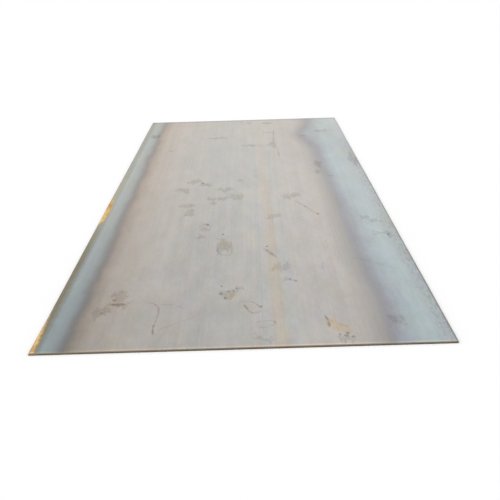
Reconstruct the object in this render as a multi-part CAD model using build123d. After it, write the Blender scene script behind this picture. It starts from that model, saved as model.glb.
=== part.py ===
from build123d import *
import os

# Hot-rolled steel plate, cut to length from wide strip.
# The rolling direction is +Y, the width is along X, and the underside lies on Z = 0.
# The two long edges are mill edges, as the rolls left them, and the two ends are sheared.

# Driving dimensions, in millimetres
PLATE_WIDTH = 1500.0  # over the crests of the two mill edges
PLATE_LENGTH = 6000.0  # over the bright lands of the two sheared ends
PLATE_THICKNESS = 8.0

# Mill edge: unrestrained by the rolls, so it stands out at mid-thickness
MILL_CROWN = 1.1  # how far the crest stands out past the edge's corners
MILL_CORNER_RADIUS = 1.2  # where the edge runs into each face

# Sheared end: the blade rolls the face over, cuts a bright land, and tears the rest
ROLLOVER_RADIUS = 0.9
LAND_HEIGHT = 2.4
BLADE_CLEARANCE = 0.6  # how far the torn part of the cut leans back


def mill_edge(side):
    """The crowned long edge on one side, +1 or -1, from the underside to the top face."""
    corner = side * (PLATE_WIDTH / 2 - MILL_CROWN)
    crest = side * PLATE_WIDTH / 2
    return ThreePointArc((corner, 0), (crest, PLATE_THICKNESS / 2), (corner, PLATE_THICKNESS))


def rolled_section():
    """The section across the rolling direction: two flat faces between two mill edges."""
    left, right = mill_edge(-1), mill_edge(1)
    underside = Line(left @ 0, right @ 0)
    top_face = Line(left @ 1, right @ 1)
    outline = make_face([underside, right, top_face, left])
    return fillet(outline.vertices(), MILL_CORNER_RADIUS)


def sheared_end():
    """The cut at the -Y end, drawn upwards in (length, height), as its torn part, land and rollover."""
    cut = -PLATE_LENGTH / 2
    land_top = PLATE_THICKNESS - ROLLOVER_RADIUS
    land_foot = land_top - LAND_HEIGHT
    torn = Line((cut + BLADE_CLEARANCE, 0), (cut, land_foot))
    land = Line((cut, land_foot), (cut, land_top))
    rollover = RadiusArc((cut, land_top), (cut + ROLLOVER_RADIUS, PLATE_THICKNESS), ROLLOVER_RADIUS)
    return [torn, land, rollover]


def cut_profile():
    """The side view. One pair of blades makes every cut of the strip, and each cut leaves the tail of one
    plate and the head of the next, so the +Y end is the -Y end turned half round: it is torn at the top."""
    half_turn = Pos(0, PLATE_THICKNESS / 2) * Rot(0, 0, 180) * Pos(0, -PLATE_THICKNESS / 2)
    head = sheared_end()
    tail = [half_turn * edge for edge in head]
    top_face = Line(head[-1] @ 1, tail[0] @ 0)
    underside = Line(tail[-1] @ 1, head[0] @ 0)
    return make_face([*head, top_face, *tail, underside])


def steel_plate():
    """The solid that both views allow: the rolled section run past both cuts, trimmed by the cut profile."""
    rolled_strip = extrude(Plane.XZ * rolled_section(), amount=PLATE_LENGTH, both=True)
    between_cuts = extrude(Plane.YZ * cut_profile(), amount=PLATE_WIDTH, both=True)
    return rolled_strip & between_cuts


os.makedirs("parts", exist_ok=True)
plate = steel_plate()
plate.label = "steel_plate"
export_step(plate, "parts/steel_plate.step")
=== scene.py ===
import math

import bpy
import numpy as np
from mathutils import Matrix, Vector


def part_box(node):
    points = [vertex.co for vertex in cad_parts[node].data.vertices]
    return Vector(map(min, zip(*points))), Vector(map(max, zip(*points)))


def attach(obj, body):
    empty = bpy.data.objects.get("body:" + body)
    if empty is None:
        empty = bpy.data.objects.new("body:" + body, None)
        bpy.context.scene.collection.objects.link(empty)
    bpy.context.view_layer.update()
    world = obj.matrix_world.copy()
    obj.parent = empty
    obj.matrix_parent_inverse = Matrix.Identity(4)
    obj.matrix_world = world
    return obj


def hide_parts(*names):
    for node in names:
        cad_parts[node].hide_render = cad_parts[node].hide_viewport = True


# A hot-rolled steel plate lying flat. Lengths are in metres: X runs across the plate, Y along it in the
# rolling direction, and Z up from its underside. The head is the end at -Y, and the tail is at +Y.
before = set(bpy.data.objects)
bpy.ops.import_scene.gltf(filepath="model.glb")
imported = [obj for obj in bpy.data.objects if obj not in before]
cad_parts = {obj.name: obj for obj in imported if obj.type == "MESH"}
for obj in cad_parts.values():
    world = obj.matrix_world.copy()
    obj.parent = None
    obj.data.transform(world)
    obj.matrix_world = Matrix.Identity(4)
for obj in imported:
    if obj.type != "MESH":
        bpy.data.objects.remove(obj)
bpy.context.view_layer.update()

NODE = "steel_plate"
node_low, node_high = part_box(NODE)
HALF_WIDTH = (node_high.x - node_low.x) / 2
HALF_LENGTH = (node_high.y - node_low.y) / 2
THICKNESS = node_high.z - node_low.z

# Mill edge and sheared end, as the part has them
MILL_CROWN = 0.0011
MILL_CORNER_RADIUS = 0.0012
ROLLOVER_RADIUS = 0.0009
LAND_HEIGHT = 0.0024
BLADE_CLEARANCE = 0.0006

# What the rolls and the blades leave uneven, all of it inside the plate's nominal size
EDGE_WANDER = 0.0016
FACE_DIP = 0.0003
LAND_WANDER = 0.0007
TORN_RAGGED = 0.0003

# Wavelengths of that unevenness, with the seed that sets their phases
LAND_WAVES = (0.31, 0.13, 0.06, 0.034)
TORN_WAVES = (0.09, 0.041, 0.027)
HEAD_SEED = 11
TAIL_SEED = 23
LEFT_EDGE_WAVES = (2.9, 1.3, 0.47, 0.19, 0.11), 31
RIGHT_EDGE_WAVES = (2.3, 1.1, 0.53, 0.21, 0.13), 37
TOP_DIP_ACROSS = (1.7, 0.8), 41
TOP_DIP_ALONG = (1.9, 0.7), 43
UNDER_DIP_ACROSS = (1.5, 0.9), 47
UNDER_DIP_ALONG = (2.1, 0.8), 53
DIP_SLANT = 0.2  # how far the dips slant across, for each metre along

# Stations of the skin's lattice
STATIONS_ACROSS = 190
STATIONS_ALONG = 190
STATIONS_UP = 16
GUARD = 0.0006  # a station this close inside each rim keeps the flat faces' shading flat
SHARP_ANGLE = 35  # degrees between two faces, past which the edge between them is sharp


def waves(place, lengths, seed):
    """Slow unevenness from 0 to 1 along a line. Formula: sines of the given wavelengths, each at a random
    phase and with a height in proportion to the root of its length, added and scaled to 0 to 1."""
    phases = np.random.default_rng(seed).uniform(0, 2 * math.pi, len(lengths))
    heights = np.sqrt(np.array(lengths))
    total = sum(
        height * np.sin(2 * math.pi * place / length + phase)
        for length, height, phase in zip(lengths, heights, phases)
    )
    return 0.5 + 0.5 * total / heights.sum()


def half_width_at(height):
    """Half the plate's width at each height. Formula: the mill edge is a crown, an arc about a centre at
    mid-thickness, and each fillet is an arc inside it that touches both the crown and the flat face."""
    crown_radius = ((THICKNESS / 2) ** 2 + MILL_CROWN**2) / (2 * MILL_CROWN)
    crown_centre = HALF_WIDTH - crown_radius
    reach = THICKNESS / 2 - MILL_CORNER_RADIUS
    fillet_centre = crown_centre + math.sqrt((crown_radius - MILL_CORNER_RADIUS) ** 2 - reach**2)
    join = reach * crown_radius / (crown_radius - MILL_CORNER_RADIUS)
    rise = np.abs(height - THICKNESS / 2)
    crown = crown_centre + np.sqrt(crown_radius**2 - rise**2)
    fillet = fillet_centre + np.sqrt(np.clip(MILL_CORNER_RADIUS**2 - (rise - reach) ** 2, 0, None))
    return np.where(rise < join, crown, fillet)


def cut_back_at(height, across, seed):
    """How far a sheared end stands back from its land. Formula: a quarter circle at the rolled-over rim,
    nothing on the land, and below the land's uneven foot a straight lean with small ragged waves."""
    shoulder = THICKNESS - ROLLOVER_RADIUS
    foot = shoulder - LAND_HEIGHT - LAND_WANDER * waves(across, LAND_WAVES, seed)
    up_the_rim = np.clip(height - shoulder, 0, ROLLOVER_RADIUS)
    rim = ROLLOVER_RADIUS - np.sqrt(ROLLOVER_RADIUS**2 - up_the_rim**2)
    down_the_tear = np.clip((foot - height) / foot, 0, 1)
    ragged = waves(across, TORN_WAVES, seed + 1) * np.sqrt(down_the_tear * (1 - down_the_tear))
    return rim + BLADE_CLEARANCE * down_the_tear + TORN_RAGGED * ragged


def plate_skin(u, v, w):
    """The plate as a function of three shares: u across from -1 to 1, v along from -1 to 1, w up from
    0 to 1. Formula: the height sets the width and how far each cut stands back; the two long edges
    wander inwards, and both faces dip by a fraction of a millimetre."""
    height = w * THICKNESS
    across = u * HALF_WIDTH
    head = -HALF_LENGTH + cut_back_at(height, across, HEAD_SEED)
    tail = HALF_LENGTH - cut_back_at(THICKNESS - height, across, TAIL_SEED)
    y = head + (tail - head) * (v + 1) / 2
    left = -half_width_at(height) + EDGE_WANDER * waves(y, *LEFT_EDGE_WAVES)
    right = half_width_at(height) - EDGE_WANDER * waves(y, *RIGHT_EDGE_WAVES)
    x = left + (right - left) * (u + 1) / 2
    slant = DIP_SLANT * y
    top_dip = FACE_DIP * waves(x + slant, *TOP_DIP_ACROSS) * waves(y, *TOP_DIP_ALONG)
    under_dip = FACE_DIP * waves(x - slant, *UNDER_DIP_ACROSS) * waves(y, *UNDER_DIP_ALONG)
    z = under_dip + (THICKNESS - top_dip - under_dip) * w
    return x, y, z


def stations(count, half_size):
    """Shares from -1 to 1, evenly spaced, with one more a guard's width inside each end."""
    even = np.linspace(-1, 1, count)
    guard = 1 - GUARD / half_size
    return np.sort(np.append(even, (-guard, guard)))


def skin_faces(index):
    """The four-sided faces of a lattice's six sides, wound to face outwards. index holds the number of
    each point on the skin by its place across, along and up."""

    def side(grid, outwards):
        corners = (grid[:-1, :-1], grid[1:, :-1], grid[1:, 1:], grid[:-1, 1:])
        return np.stack(corners if outwards else corners[::-1], axis=-1).reshape(-1, 4)

    return np.concatenate([
        side(index[:, :, -1], True),
        side(index[:, :, 0], False),
        side(index[:, 0, :], True),
        side(index[:, -1, :], False),
        side(index[-1, :, :], True),
        side(index[0, :, :], False),
    ])


def quad_mesh(name, points, faces):
    """A mesh of four-sided faces, from one array of points and one of point numbers."""
    mesh = bpy.data.meshes.new(name)
    mesh.vertices.add(len(points))
    mesh.vertices.foreach_set("co", points.astype(np.float32).ravel())
    mesh.loops.add(faces.size)
    mesh.loops.foreach_set("vertex_index", faces.astype(np.int32).ravel())
    mesh.polygons.add(len(faces))
    mesh.polygons.foreach_set("loop_start", np.arange(0, faces.size, 4, dtype=np.int32))
    mesh.update(calc_edges=True)
    return mesh


def plate_mesh():
    """The skin of the lattice as one closed mesh. Heights crowd towards the faces, as a cosine does."""
    across = stations(STATIONS_ACROSS, HALF_WIDTH)
    along = stations(STATIONS_ALONG, HALF_LENGTH)
    up = (1 - np.cos(np.linspace(0, math.pi, STATIONS_UP + 1))) / 2
    u, v, w = np.meshgrid(across, along, up, indexing="ij")
    on_skin = np.zeros(u.shape, bool)
    on_skin[[0, -1]] = on_skin[:, [0, -1]] = on_skin[:, :, [0, -1]] = True
    index = np.full(u.shape, -1)
    index[on_skin] = np.arange(on_skin.sum())
    points = np.stack(plate_skin(u[on_skin], v[on_skin], w[on_skin]), axis=-1)
    mesh = quad_mesh("rolled_plate", points, skin_faces(index))
    mesh.shade_smooth()
    mesh.set_sharp_from_angle(angle=math.radians(SHARP_ANGLE))
    return mesh


class Value:
    """A number, vector or colour that differs from point to point. Sums on it add nodes."""

    def __init__(self, finish, socket):
        self.finish = finish
        self.socket = socket

    def __add__(self, other):
        return self.finish.maths("ADD", self, other)

    __radd__ = __add__

    def __mul__(self, other):
        return self.finish.maths("MULTIPLY", self, other)

    __rmul__ = __mul__

    def __sub__(self, other):
        return self.finish.maths("SUBTRACT", self, other)

    def __rsub__(self, other):
        return self.finish.maths("SUBTRACT", other, self)

    def __abs__(self):
        return self.finish.maths("ABSOLUTE", self)

    def larger(self, other):
        return self.finish.maths("MAXIMUM", self, other)

    def beside(self, output):
        """Another output of the node that this comes from, by name or number."""
        return Value(self.finish, self.socket.node.outputs[output])

    def smooth(self, start, end, low=0.0, high=1.0):
        """low where this is at start and high where it is at end, with a soft S between."""
        return self.finish.node(
            "ShaderNodeMapRange",
            {"interpolation_type": "SMOOTHSTEP", "clamp": False},
            {"Value": self, "From Min": start, "From Max": end, "To Min": low, "To Max": high},
        )

    def swing(self, size):
        """A noise from 0 to 1 as one that swings about 0, by half of size to each side."""
        return (self - 0.5) * size

    def hump(self, middle, reach, height=1.0):
        """height where this is at middle, sinking to nothing at reach above and below it."""
        return abs(self - middle).smooth(reach, 0.0, 0.0, height)

    def tinted(self, share, tint):
        """This colour, changed by tint where share is 1. A tint is what it adds to red, green and blue, as
        shares of the colour itself, or one share for all three."""
        return self * (1.0 + share * tint)


class Finish:
    """The nodes of one material or world."""

    def __init__(self, tree):
        self.tree = tree
        self.tree.nodes.clear()

    def node(self, kind, settings=None, sockets=None, output=0):
        """Adds a node of any kind: its settings first, then its sockets, by name or number."""
        made = self.tree.nodes.new(kind)
        for name, value in (settings or {}).items():
            if name == "stops":
                set_stops(made.color_ramp, value)
            else:
                setattr(made, name, value)
        for name, value in (sockets or {}).items():
            if isinstance(value, Value):
                self.tree.links.new(value.socket, made.inputs[name])
            elif made.inputs[name].type == "VECTOR" and isinstance(value, float):
                made.inputs[name].default_value = (value, value, value)
            else:
                made.inputs[name].default_value = value
        return Value(self, made.outputs[output]) if made.outputs else None

    def maths(self, operation, *terms):
        """A Math node, or a Vector Math node where a term is a vector or colour, which keeps its parts."""
        parted = any(
            isinstance(term, tuple) or isinstance(term, Value) and term.socket.type != "VALUE"
            for term in terms
        )
        kind = "ShaderNodeVectorMath" if parted else "ShaderNodeMath"
        output = "Value" if not parted or operation in ("DISTANCE", "DOT_PRODUCT") else "Vector"
        return self.node(kind, {"operation": operation}, dict(enumerate(terms)), output)

    def noise(self, place, scale, detail=2.0, roughness=0.5, output="Fac"):
        sockets = {"Vector": place, "Scale": scale, "Detail": detail, "Roughness": roughness}
        return self.node("ShaderNodeTexNoise", {}, sockets, output)

    def blend(self, share, first, second):
        """Colour first, going to colour second as share goes from 0 to 1. The sockets go by number,
        because a Mix node has several of each name."""
        settings = {"data_type": "RGBA", "clamp_factor": True}
        return self.node("ShaderNodeMix", settings, {0: share, 6: first, 7: second}, output=2)

    def ramp(self, share, stops):
        """The colour at a share from 0 to 1, on a smooth curve through stops of (share, colour)."""
        return self.node("ShaderNodeValToRGB", {"stops": stops}, {"Fac": share})

    def from_middle(self, place, x, y, width, length):
        """How far a point is from an oval's middle, as a share of the way to its rim."""
        wide = (2 / width, 2 / length, 0.0)
        return self.maths("DISTANCE", place * wide, (2 * x / width, 2 * y / length, 0.0))

    def spots(self, place, marks):
        """Soft ovals, each as (x, y, width, length, strength)."""
        total = 0.0
        for *oval, strength in marks:
            total = self.from_middle(place, *oval).smooth(1.0, 0.2, 0.0, strength).larger(total)
        return total

    def strokes(self, place, lines):
        """Tapered lines, each as (width, strength, and the points it passes through). Each run from
        one point to the next is a thin oval, half as long again as the run, with distances along it
        and across it as dot products."""
        total = 0.0
        for width, strength, *points in lines:
            for (x0, y0), (x1, y1) in zip(points[:-1], points[1:]):
                run = math.hypot(x1 - x0, y1 - y0)
                cos, sin = (x1 - x0) / run, (y1 - y0) / run
                offset = place - ((x0 + x1) / 2, (y0 + y1) / 2, 0.0)
                along = self.maths("DOT_PRODUCT", offset, (cos * 1.5 / run, sin * 1.5 / run, 0.0))
                across = self.maths("DOT_PRODUCT", offset, (-sin * 2 / width, cos * 2 / width, 0.0))
                squared = along * along + across * across
                total = squared.smooth(1.0, 0.1, 0.0, strength).larger(total)
        return total


def set_stops(ramp, stops):
    ramp.interpolation = "CARDINAL"
    while len(ramp.elements) < len(stops):
        ramp.elements.new(1.0)
    for element, (share, colour) in zip(ramp.elements, stops):
        element.position = share
        element.color = colour


def new_material(name):
    material = bpy.data.materials.new(name)
    material.use_nodes = True
    return material


def tone(red, green, blue):
    """A colour as a screen shows it, from 0 to 255, in the linear values that nodes take."""
    shares = (np.array((red, green, blue)) / 255.0).tolist()
    linear = [c / 12.92 if c <= 0.04045 else ((c + 0.055) / 1.055) ** 2.4 for c in shares]
    return (*linear, 1.0)


# Oxide bands across the plate, from its left edge to its right, as (place across, colour)
BANDS = (
    (-0.750, tone(142, 146, 140)),
    (-0.695, tone(149, 154, 148)),
    (-0.664, tone(138, 142, 135)),
    (-0.634, tone(104, 93, 85)),
    (-0.606, tone(142, 121, 100)),
    (-0.565, tone(163, 147, 129)),
    (-0.450, tone(170, 161, 150)),
    (-0.150, tone(169, 165, 158)),
    (0.050, tone(175, 170, 162)),
    (0.340, tone(180, 172, 164)),
    (0.430, tone(174, 165, 156)),
    (0.490, tone(148, 142, 136)),
    (0.527, tone(135, 134, 140)),
    (0.580, tone(154, 164, 168)),
    (0.650, tone(165, 178, 178)),
    (0.750, tone(160, 168, 169)),
)

# How far the bands shift towards the left edge, as (place along the plate, reach, shift)
RIGHT_BAND_SHIFTS = ((2.05, 0.8, 0.090), (0.80, 0.9, 0.025), (-2.45, 0.9, -0.018))
LEFT_BAND_SHIFTS = ((1.50, 1.1, 0.006),)

# Places along the plate where its head and its tail begin to look different, and where they fully do
HEAD_REACH = (0.3, -2.9)
TAIL_REACH = (1.0, 2.9)

# Tints of the slow changes of tone; the head's two tints are painted shade, darker towards the head end and
# most on its left
PAINTED_HEAD_SHADE_TINT = (-0.10, -0.09, -0.07)
PAINTED_LEFT_HEAD_SHADE_TINT = (-0.27, -0.16, -0.05)
RIGHT_HEAD_TINT = (-0.018, 0.0, 0.012)
TAIL_TINT = (0.03, 0.01, -0.04)
SMOKY_TINT = (-0.17, -0.21, -0.22)
PALE_CORNER_TINT = (0.15, 0.145, 0.17)
PLAY_OF_COLOUR = (0.34, 0.12, 0.46)

# The tan line that a guide rubbed
TAN_LINE_X = 0.123
TAN_LINE_LEAN = 0.004  # towards the left edge, for each metre towards the tail
TAN_TINT = (0.04, -0.03, -0.12)
COOL_TINT = (-0.05, 0.0, 0.03)

# Splashes of dirt and flaked scale on the top face, as (x, y, width, length, strength)
SPLASHES = (
    (-0.674, 2.190, 0.100, 0.200, 0.9),
    (-0.225, 2.014, 0.090, 0.130, 0.8),
    (-0.160, 2.014, 0.090, 0.120, 0.8),
    (0.045, 1.610, 0.130, 0.130, 0.9),
    (0.200, 1.650, 0.070, 0.240, 0.9),
    (0.215, 1.520, 0.060, 0.180, 0.7),
    (0.046, 2.790, 0.050, 0.160, 0.6),
    (0.185, 2.767, 0.100, 0.180, 0.7),
    (0.196, 2.243, 0.130, 0.080, 0.8),
    (0.442, 2.036, 0.085, 0.130, 0.7),
    (0.593, 2.276, 0.150, 0.120, 0.9),
    (-0.512, 1.458, 0.080, 0.120, 0.4),
    (0.079, 0.390, 0.050, 0.100, 0.6),
    (0.481, 0.761, 0.060, 0.340, 0.8),
    (0.453, 0.467, 0.070, 0.180, 0.8),
    (0.548, 0.303, 0.045, 0.090, 0.6),
    (-0.290, 0.210, 0.125, 0.160, 1.0),
    (-0.215, 0.120, 0.090, 0.140, 0.9),
    (-0.021, 0.216, 0.050, 0.130, 0.7),
    (-0.110, -0.050, 0.125, 0.140, 0.8),
    (-0.350, -0.035, 0.100, 0.190, 0.8),
    (-0.042, -0.260, 0.095, 0.280, 1.0),
    (-0.172, -0.307, 0.090, 0.110, 0.8),
    (-0.105, -0.307, 0.120, 0.110, 0.9),
    (-0.161, -0.438, 0.070, 0.080, 0.5),
    (-0.310, -0.500, 0.140, 0.150, 0.9),
    (-0.290, -0.700, 0.060, 0.260, 0.6),
    (-0.190, -1.000, 0.080, 0.080, 0.9),
    (-0.195, -1.120, 0.080, 0.180, 0.6),
    (-0.200, -1.290, 0.080, 0.090, 0.7),
    (-0.105, -1.320, 0.090, 0.130, 1.0),
    (-0.095, -1.480, 0.110, 0.330, 0.55),
    (0.168, -0.809, 0.045, 0.160, 0.7),
    (0.140, -0.850, 0.085, 0.180, 0.6),
    (0.245, -0.330, 0.080, 0.130, 1.0),
    (0.285, -0.290, 0.080, 0.130, 0.8),
    (0.632, -0.918, 0.080, 0.100, 0.9),
    (0.668, -1.010, 0.080, 0.100, 0.8),
    (0.660, -1.288, 0.120, 0.080, 0.8),
    (0.175, -1.870, 0.090, 0.180, 0.8),
    (0.135, -1.940, 0.060, 0.100, 0.6),
    (0.198, -2.110, 0.070, 0.090, 0.8),
    (0.347, -1.900, 0.060, 0.080, 0.4),
    (-0.065, -2.290, 0.090, 0.170, 0.9),
    (-0.010, -2.260, 0.060, 0.120, 0.6),
    (-0.485, -2.420, 0.120, 0.110, 1.0),
    (-0.495, -2.290, 0.100, 0.200, 0.8),
    (-0.545, -2.520, 0.110, 0.170, 0.9),
    (0.365, -2.920, 0.085, 0.110, 0.9),
    (0.070, -2.905, 0.120, 0.100, 0.5),
    (0.562, -2.745, 0.080, 0.220, 0.45),
    (0.715, 0.900, 0.060, 0.900, 0.8),
    (0.705, -1.350, 0.050, 0.160, 0.7),
)

# Scratches and the rims of dried splashes, as (width, strength, and the points each passes through)
SCRATCHES = (
    (0.016, 0.6, (0.230, 2.330), (0.222, 2.000), (0.215, 1.700)),
    (0.012, 0.6, (0.215, 1.700), (0.238, 1.400), (0.241, 1.040)),
    (0.034, 0.5, (-0.017, 1.615), (0.079, 1.587), (0.179, 1.550)),
    (0.030, 0.5, (0.528, 2.196), (0.606, 2.234), (0.673, 2.308)),
    (0.014, 0.8, (-0.240, 0.170), (-0.190, 0.070)),
    (0.012, 0.7, (0.285, -0.440), (0.330, -0.610), (0.385, -0.800)),
    (0.010, 0.6, (0.503, -1.790), (0.570, -1.855), (0.615, -1.940), (0.660, -1.986)),
    (0.011, 0.8, (-0.378, -2.395), (-0.352, -2.412), (-0.333, -2.470), (-0.325, -2.550)),
    (0.009, 0.7, (-0.325, -2.530), (-0.328, -2.630), (-0.333, -2.730)),
    (0.011, 1.0, (-0.332, -2.690), (-0.333, -2.750), (-0.329, -2.830)),
    (0.014, 0.6, (-0.335, -2.430), (-0.270, -2.445)),
    (0.008, 0.5, (-0.270, -2.445), (-0.225, -2.500)),
    (0.008, 0.6, (-0.310, -2.760), (-0.244, -2.684), (-0.172, -2.597)),
    (0.026, 0.9, (0.095, -1.540), (0.146, -1.715)),
    (0.014, 0.9, (0.002, -2.470), (0.016, -2.550), (0.042, -2.590), (0.068, -2.560)),
    (0.011, 0.8, (-0.012, -2.420), (0.024, -2.425), (0.048, -2.455), (0.068, -2.525)),
    (0.011, 0.7, (0.040, -2.715), (0.072, -2.690), (0.112, -2.695), (0.120, -2.735)),
    (0.010, 0.6, (0.046, -2.765), (0.090, -2.775), (0.118, -2.745)),
    (0.014, 0.9, (-0.122, -1.470), (-0.117, -1.590), (-0.098, -1.655), (-0.056, -1.640)),
    (0.012, 0.5, (-0.056, -1.640), (-0.054, -1.500), (-0.062, -1.360)),
    (0.014, 1.0, (0.306, -2.640), (0.313, -2.720), (0.312, -2.800)),
    (0.009, 0.6, (0.313, -2.700), (0.345, -2.745), (0.385, -2.790)),
)

# Small dark specks, warm stains and a patch where water lay, given as the splashes are
SPECKS = (
    (-0.092, -2.300, 0.024, 0.060, 1.0),
    (-0.062, -2.275, 0.022, 0.055, 1.0),
    (-0.040, -2.265, 0.018, 0.050, 0.9),
    (-0.074, -2.365, 0.022, 0.060, 1.0),
    (-0.026, -2.232, 0.030, 0.050, 0.8),
    (-0.090, -2.185, 0.018, 0.045, 0.8),
    (0.366, -2.900, 0.024, 0.055, 1.0),
    (0.389, -2.912, 0.020, 0.050, 0.9),
    (0.196, -2.100, 0.022, 0.055, 0.8),
    (0.219, -2.128, 0.018, 0.045, 1.0),
    (-0.101, -1.222, 0.020, 0.060, 0.9),
    (0.108, -1.502, 0.024, 0.060, 0.8),
    (0.331, -0.612, 0.026, 0.070, 0.8),
    (0.387, -0.805, 0.026, 0.070, 0.8),
    (-0.183, -0.990, 0.036, 0.070, 0.9),
    (0.696, -1.330, 0.022, 0.080, 0.9),
    (0.068, -2.505, 0.022, 0.045, 0.8),
    (-0.245, 0.165, 0.036, 0.100, 0.8),
    (-0.494, -2.414, 0.110, 0.075, 0.9),
    (-0.548, -2.530, 0.030, 0.080, 0.7),
    (-0.515, -2.350, 0.034, 0.060, 0.7),
    (0.372, -2.868, 0.022, 0.050, 0.9),
    (0.345, -2.880, 0.020, 0.045, 0.7),
)
WARM_STAINS = (
    (0.325, -2.735, 0.060, 0.170, 0.9),
    (0.352, -2.795, 0.090, 0.150, 1.0),
    (0.374, -2.840, 0.060, 0.110, 0.7),
    (-0.090, -1.450, 0.100, 0.360, 0.35),
    (-0.045, -2.330, 0.085, 0.140, 0.6),
    (-0.520, -2.420, 0.140, 0.300, 0.3),
    (0.122, -1.930, 0.050, 0.160, 0.4),
    (0.330, -0.780, 0.110, 0.160, 0.2),
    (0.036, -2.500, 0.070, 0.130, 0.3),
    (0.742, 0.950, 0.060, 1.000, 0.35),
    (0.742, -1.080, 0.050, 0.600, 0.6),
)
WET_PATCHES = ((-0.759, -0.570, 0.122, 1.050, 1.0),)

# How far noise pushes the outlines of splashes and of fine marks about, and frays the layers at the edges
SPLASH_PUSH = (0.12, 0.36, 0.0)
MARK_PUSH = (0.014, 0.05, 0.0)
FRAY = 0.016

DIRT_TINT = (-0.38, -0.43, -0.48)
WARM_TINT = (0.03, -0.12, -0.38)
LIFTED_TINT = (0.14, 0.12, 0.08)
DUST_TINT = (-0.10, -0.15, -0.22)

# Layers along the plate's edges, as (distance inside the edge where it starts, where it is full)
OLIVE_RUST = (0.044, 0.014)
ORANGE_RUST = (0.011, -0.005)
BLOOM = (0.085, 0.010)
DARK_RIM = (0.012, 0.004)
# Painted highlight along the head's rim, and painted shadow along the tail's
PAINTED_HEAD_HIGHLIGHT = (0.024, 0.008)
PAINTED_TAIL_SHADOW = (0.110, 0.030)
MILL_EDGE = (0.0040, 0.0026)
SHEARED_END = (0.0014, 0.0010)

# The lowest point of the land's foot, and how far up and down its colour blurs
LAND_FOOT = THICKNESS - ROLLOVER_RADIUS - LAND_HEIGHT - LAND_WANDER
LAND_BLUR = 0.0006

BLOOM_TINT = (-0.25, -0.33, -0.33)
# Painted highlight at the head's rim, and painted shadow at the tail's
PAINTED_HEAD_HIGHLIGHT_TINT = (0.40, 0.28, 0.20)
PAINTED_TAIL_SHADOW_TINT = -0.28
OLIVE_PALE = tone(172, 168, 142)
OLIVE_DARK = tone(120, 109, 80)
ORANGE_DEEP = tone(164, 116, 60)
ORANGE_BRIGHT = tone(240, 202, 124)
RIM_GREY = tone(84, 86, 86)
SIDE_BROWN = tone(86, 78, 70)
SIDE_RUSTY = tone(124, 98, 74)
# Steel of the sheared ends: the torn zone is darker than the burnished land, and both are darkened further
# as painted shade on the end faces
TORN_STEEL = tone(104, 94, 80)
LAND_STEEL = tone(134, 124, 109)

# The film is half bright, and dirt and rust are dull
FILM_ROUGHNESS = 0.30
DIRT_ROUGHNESS = 0.20
RUST_ROUGHNESS = 0.50
UNEVEN_ROUGHNESS = 0.10
BUMP_STRENGTH = 0.2
BUMP_DISTANCE = 0.0003


def share_across(x):
    """A place across the plate as a share from its left edge to its right."""
    return x * (0.5 / HALF_WIDTH) + 0.5


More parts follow.
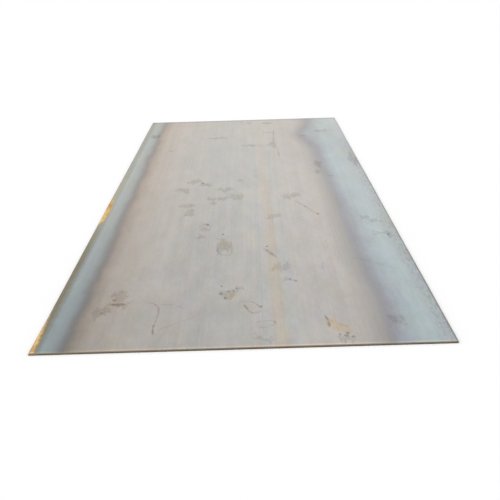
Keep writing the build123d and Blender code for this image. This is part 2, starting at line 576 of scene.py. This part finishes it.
class PlateFinish(Finish):
    """The finish of a rolled plate. Each layer takes the colour under it and gives back its own."""

    def __init__(self, tree):
        super().__init__(tree)
        self.place = self.node("ShaderNodeTexCoord", output="Object")
        self.x, self.y, self.z = self.parts(self.place)
        self.on_top = self.z.smooth(0.4 * THICKNESS, 0.6 * THICKNESS)
        self.head = self.y.smooth(*HEAD_REACH)
        self.tail = self.y.smooth(*TAIL_REACH)
        self.make_noises()

    def parts(self, vector):
        first = self.node("ShaderNodeSeparateXYZ", {}, {0: vector})
        return first, first.beside(1), first.beside(2)

    def make_noises(self):
        """The unevenness that the layers share, from 0 to 1 about a half. The rolls drew most of it out."""
        flat = self.place * (1.0, 1.0, 0.0)
        drawn = self.place * (1.0, 0.2, 0.0)
        self.fine = self.noise(flat * (130.0, 0.4, 1.0), 1.0, detail=3.0, roughness=0.6)
        self.broad = self.noise(flat * (32.0, 0.25, 1.0), 1.0, detail=2.0)
        self.cloud = self.noise(flat * (1.0, 0.5, 1.0), 3.0, detail=4.0, roughness=0.6)
        self.patchy = self.noise(drawn, 15.0, detail=5.0, roughness=0.7)
        self.torn = self.noise(drawn, 75.0, detail=3.0, roughness=0.7)
        self.grain = self.noise(self.place, 260.0, detail=4.0, roughness=0.6)
        self.tint = self.noise(drawn, 14.0, detail=5.0, roughness=0.75, output="Color")
        self.frayed = self.noise(flat * (1.0, 7.0, 1.0), 3.0, detail=4.0).swing(FRAY)
        self.rust_grain = self.grain.smooth(0.30, 0.70, 0.75, 1.20)

        # The point on the face, pushed far for splashes and a little for fine marks
        push = self.noise(drawn, 24.0, detail=4.0, roughness=0.7, output="Color")
        self.pushed = (flat + push.swing(SPLASH_PUSH)) * (1.0, 1.0, 0.0)
        self.nudged = (flat + push.swing(MARK_PUSH)) * (1.0, 1.0, 0.0)

    def humps(self, shifts):
        """Soft humps along the plate, added up."""
        total = 0.0
        for middle, reach, height in shifts:
            total = self.y.hump(middle, reach, height) + total
        return total

    def bands(self):
        """The bands across the plate, whose boundaries shift along it and fray."""
        x = self.x
        shifted = x + x.smooth(0.2, 0.36) * self.humps(RIGHT_BAND_SHIFTS)
        shifted = shifted + x.smooth(-0.45, -0.58) * self.humps(LEFT_BAND_SHIFTS)
        shifted = shifted + self.cloud.swing(0.06) + self.patchy.swing(0.03)
        return self.ramp(share_across(shifted), [(share_across(at), colour) for at, colour in BANDS])

    def shaded(self, colour):
        """Slow changes of tone along the plate and across it. The head end is darkened with painted shade,
        most on its left.
        """
        x, y, head = self.x, self.y, self.head
        # Painted shade: the head end darker, and its left side darker still
        colour = colour.tinted(head, PAINTED_HEAD_SHADE_TINT)
        colour = colour.tinted(head * x.smooth(-0.45, -0.66), PAINTED_LEFT_HEAD_SHADE_TINT)
        colour = colour.tinted(self.tail, TAIL_TINT)
        colour = colour.tinted(head * x.smooth(0.05, 0.25), RIGHT_HEAD_TINT)
        smoky = x.hump(0.52, 0.10) * y.hump(2.0, 0.9) * SMOKY_TINT
        dim_left = x.hump(-0.68, 0.035) * y.smooth(-1.5, 0.5) * -0.04
        pale_corner = x.smooth(0.63, 0.71) * y.smooth(1.4, 2.2) * PALE_CORNER_TINT
        dull_tail = x.smooth(0.1, 0.3) * y.smooth(0.4, 1.5) * -0.06
        # Painted shade: the left half of the head darker
        painted_left_head_shade = x.smooth(0.0, -0.4) * head * -0.05
        faded = x.hump(-0.622, 0.04) * y.smooth(0.4, 2.4) * 0.12
        return colour * (1.0 + smoky + dim_left + pale_corner + dull_tail + painted_left_head_shade + faded)

    def streaked(self, colour):
        """Streaks and mottling along the rolling direction, with a slight play of colour."""
        streaks = self.fine.swing(0.44) + self.broad.swing(0.20)
        mottle = self.cloud.swing(0.20) + self.patchy.swing(0.38) + self.torn.swing(0.16)
        streaks = streaks * self.y.smooth(-2.6, -0.6, 0.7, 1.0)
        mottle = mottle * (1.0 + self.head * 0.4)
        colour = colour * (1.0 + streaks + mottle + self.grain.swing(0.14))
        return colour * (1.0 + self.tint.swing(PLAY_OF_COLOUR))

    def rubbed(self, colour):
        """The tan line, with a cooler line at each side."""
        y = self.y
        middle = TAN_LINE_X - TAN_LINE_LEAN * y
        off_line = abs(self.x - middle + self.broad.swing(0.012))
        line = y.smooth(2.8, 1.2, 0.2, 1.0) * off_line.smooth(0.031, 0.012) * (0.4 + 1.2 * self.cloud)
        sides = y.smooth(2.0, 1.0) * off_line.hump(0.056, 0.030)
        return colour * (1.0 + line * TAN_TINT + sides * COOL_TINT)

    def splashes(self):
        """Shares of dirt in the splashes, each a haze with a ragged rim and a speckled middle, and of
        bright steel where flakes lifted off in them."""
        covered = self.spots(self.pushed, SPLASHES) * 1.35 * self.on_top
        level = covered + self.torn.swing(2.4) + self.grain.swing(1.8)
        haze = covered.smooth(0.0, 1.2) * 0.33
        rim = level.hump(0.60, 0.24) * covered.smooth(0.0, 0.4)
        speckle = level.smooth(1.20, 1.60)
        lifted = (covered - self.torn.swing(3.0)).smooth(1.05, 1.40) * covered.smooth(0.0, 0.35)
        return haze.larger(rim * 0.66).larger(speckle * 0.80), lifted

    def scratches(self):
        return self.strokes(self.nudged, SCRATCHES) * self.torn.smooth(0.36, 0.54, 0.3, 1.0) * self.on_top

    def specks(self):
        specks = self.spots(self.nudged, SPECKS) * 1.4 + self.torn.swing(1.0) + self.grain.swing(2.0)
        return specks.smooth(0.50, 1.00) * self.on_top

    def warm_stains(self):
        stains = self.spots(self.nudged, WARM_STAINS).smooth(0.0, 0.7)
        return stains * self.torn.smooth(0.35, 0.6, 0.6, 1.0) * self.on_top

    def marked(self, colour):
        """The marks on the top face, and dust on the underside. Gives back the share of dirt too."""
        dirt, lifted = self.splashes()
        dirt = dirt.larger(self.scratches() * 0.8).larger(self.specks() * 0.9)
        dust = (1.0 - self.on_top) * self.patchy.smooth(0.45, 0.65)
        colour = colour.tinted(self.warm_stains(), WARM_TINT).tinted(dirt, DIRT_TINT)
        colour = colour.tinted(lifted, LIFTED_TINT).tinted(dust, DUST_TINT)
        return colour, dirt

    def rusted(self, colour):
        """Rust along the left edge: olive brown, then orange towards the head and where water lay. Gives
        back the share of rust too."""
        y, torn = self.y, self.torn
        from_left = self.x + HALF_WIDTH + self.frayed
        olive = from_left.smooth(*OLIVE_RUST) * y.smooth(1.2, 0.0, 0.4, 0.9)
        olive = olive * torn.smooth(0.3, 0.55, 0.7, 1.0)
        orange = (from_left - y.smooth(-2.15, -3.0, -0.011, 0.014)).smooth(*ORANGE_RUST)
        wet = (self.spots(self.nudged, WET_PATCHES) + torn.swing(0.9)).smooth(0.25, 0.55)
        orange = orange.larger(wet)
        olive_tone = self.blend(y.smooth(-0.2, -1.8), OLIVE_PALE, OLIVE_DARK) * self.rust_grain
        orange_tone = self.blend((self.patchy + self.grain).smooth(0.82, 1.14), ORANGE_DEEP, ORANGE_BRIGHT)
        colour = self.blend(orange, self.blend(olive, colour, olive_tone), orange_tone)
        return colour, orange.larger(olive)

    def rimmed(self, colour):
        """The right edge's thin dark rim, with a speckled bloom of rust inside it."""
        y = self.y
        from_right = HALF_WIDTH - self.x + self.frayed * 0.3
        speckled = (self.torn * 1.5 + self.cloud * 0.5).smooth(0.94, 1.14)
        bloom = from_right.smooth(*BLOOM) * speckled * y.smooth(2.2, 1.4)
        rim = from_right.smooth(*DARK_RIM) * y.smooth(2.0, 0.5, 0.4, 0.9)
        return self.blend(rim, colour.tinted(bloom, BLOOM_TINT), RIM_GREY)

    def painted_end_light(self, colour):
        """Painted light on the rims of the ends: a painted highlight along the head's rim, and painted
        shadow along the tail's.
        """
        head_highlight = (self.y + HALF_LENGTH).smooth(*PAINTED_HEAD_HIGHLIGHT)
        tail_shadow = (HALF_LENGTH - self.y + self.frayed).smooth(*PAINTED_TAIL_SHADOW)
        return colour.tinted(head_highlight, PAINTED_HEAD_HIGHLIGHT_TINT).tinted(tail_shadow, PAINTED_TAIL_SHADOW_TINT)

    def cut(self, colour):
        """Rust on the mill edges, and steel on the sheared ends, paler above the foot of the head's land.
        The ends' steel is also darkened as painted shade on the end faces. Gives back the share of mill
        edge too."""
        mill_edge = (HALF_WIDTH - abs(self.x)).smooth(*MILL_EDGE)
        edge_tone = self.blend(self.patchy.smooth(0.4, 0.6), SIDE_BROWN, SIDE_RUSTY) * self.rust_grain
        colour = self.blend(mill_edge * 0.7, colour, edge_tone)
        # The sheared ends' own steel colour, darkened as painted shade as well
        end = (HALF_LENGTH - abs(self.y)).smooth(*SHEARED_END)
        above_foot = self.z.smooth(LAND_FOOT - LAND_BLUR, LAND_FOOT + LAND_BLUR)
        end_tone = self.blend(above_foot, TORN_STEEL, LAND_STEEL) * (0.7 + 0.6 * self.patchy)
        return self.blend(end, colour, end_tone), mill_edge

    def relief(self):
        height = self.fine * 0.6 + self.grain * 0.5
        return self.node(
            "ShaderNodeBump",
            {},
            {"Strength": BUMP_STRENGTH, "Distance": BUMP_DISTANCE, "Height": height},
        )

    def roughness(self, dirt, rust):
        uneven = self.fine.swing(UNEVEN_ROUGHNESS) + self.grain.swing(UNEVEN_ROUGHNESS)
        return FILM_ROUGHNESS + uneven + dirt * DIRT_ROUGHNESS + rust * RUST_ROUGHNESS


def mill_scale():
    """Grey oxide from hot rolling, with its bands, streaks, splashes and edge rust, and with painted shade
    and painted highlights.
    """
    material = new_material("mill_scale")
    f = PlateFinish(material.node_tree)
    colour = f.shaded(f.bands())
    colour = f.rubbed(f.streaked(colour))
    colour, dirt = f.marked(colour)
    colour, rust = f.rusted(colour)
    colour = f.painted_end_light(f.rimmed(colour))
    colour, mill_edge = f.cut(colour)
    shader = f.node(
        "ShaderNodeBsdfPrincipled",
        {},
        {
            "Base Color": colour,
            "Roughness": f.roughness(dirt, rust),
            "Metallic": rust.larger(mill_edge * 0.8).smooth(0.1, 0.6, 1.0, 0.0),
            "Normal": f.relief(),
        },
    )
    f.node("ShaderNodeOutputMaterial", {}, {"Surface": shader})
    return material


def add_object(name, data):
    added = bpy.data.objects.new(name, data)
    bpy.context.scene.collection.objects.link(added)
    return added


def make_plate():
    plate = add_object("rolled_plate", plate_mesh())
    plate.data.materials.append(mill_scale())
    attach(plate, "root")
    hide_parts(NODE)


# Where the photograph was taken from
CAMERA_PLACE = (0.041, -7.039, 1.332)
CAMERA_TURN_LEFT = 0.12  # degrees, as are the next two
CAMERA_TILT_DOWN = 13.60
CAMERA_ROLL = -1.72
CAMERA_SENSOR = 36.0  # millimetres, as is the lens
CAMERA_LENS = 87.8


def make_camera():
    data = bpy.data.cameras.new("camera")
    data.sensor_width = CAMERA_SENSOR
    data.lens = CAMERA_LENS
    camera = add_object("camera", data)
    turn = Matrix.Rotation(math.radians(CAMERA_TURN_LEFT), 4, "Z")
    tilt = Matrix.Rotation(math.radians(90 - CAMERA_TILT_DOWN), 4, "X")
    roll = Matrix.Rotation(math.radians(CAMERA_ROLL), 4, "Z")
    camera.matrix_world = Matrix.Translation(CAMERA_PLACE) @ turn @ tilt @ roll
    bpy.context.scene.camera = camera


WHITE = (1.0, 1.0, 1.0, 1.0)
FLOOR_HALF_SIZE = 60.0
FLOOR_DROP = 0.0002  # keeps the floor from lying in the underside's own plane


def floor_finish():
    material = new_material("white_floor")
    f = Finish(material.node_tree)
    matt = f.node("ShaderNodeBsdfDiffuse", {}, {"Color": WHITE})
    f.node("ShaderNodeOutputMaterial", {}, {"Surface": matt})
    return material


def make_floor():
    size = FLOOR_HALF_SIZE
    corners = [
        (-size, -size, -FLOOR_DROP),
        (size, -size, -FLOOR_DROP),
        (size, size, -FLOOR_DROP),
        (-size, size, -FLOOR_DROP),
    ]
    mesh = bpy.data.meshes.new("floor")
    mesh.from_pydata(corners, [], [(0, 1, 2, 3)])
    mesh.materials.append(floor_finish())
    add_object("floor", mesh)


KEY_STRENGTH = 0.60
KEY_WIDTH = 90.0  # degrees of the sky that the key light fills
KEY_HEIGHT = 50.0  # degrees above the floor
KEY_SIDE = 30.0  # degrees to the left of the camera's back


def make_key_light():
    """One very broad and soft light, high up behind the camera to its left."""
    data = bpy.data.lights.new("key", "SUN")
    data.energy = KEY_STRENGTH
    data.angle = math.radians(KEY_WIDTH)
    key = add_object("key", data)
    turn = Matrix.Rotation(math.radians(-KEY_SIDE), 4, "Z")
    lean = Matrix.Rotation(math.radians(90 - KEY_HEIGHT), 4, "X")
    key.matrix_world = turn @ lean


def make_world():
    """Even white light from all round, as in a white studio. It lights the floor a little less than it
    shows, by as much as the key light adds, so that the floor stays just white."""
    world = bpy.data.worlds.new("white_studio")
    world.use_nodes = True
    f = Finish(world.node_tree)
    seen = f.node("ShaderNodeLightPath", output="Is Camera Ray")
    mirrored = seen.beside("Is Glossy Ray")
    from_key = KEY_STRENGTH * math.sin(math.radians(KEY_HEIGHT)) / math.pi
    strength = seen.larger(mirrored).smooth(0.0, 1.0, 1.0 - from_key, 1.0)
    light = f.node("ShaderNodeBackground", {}, {"Color": WHITE, "Strength": strength})
    f.node("ShaderNodeOutputWorld", {}, {"Surface": light})
    bpy.context.scene.world = world


bpy.context.scene.view_settings.view_transform = "Standard"
make_plate()
make_camera()
make_floor()
make_key_light()
make_world()
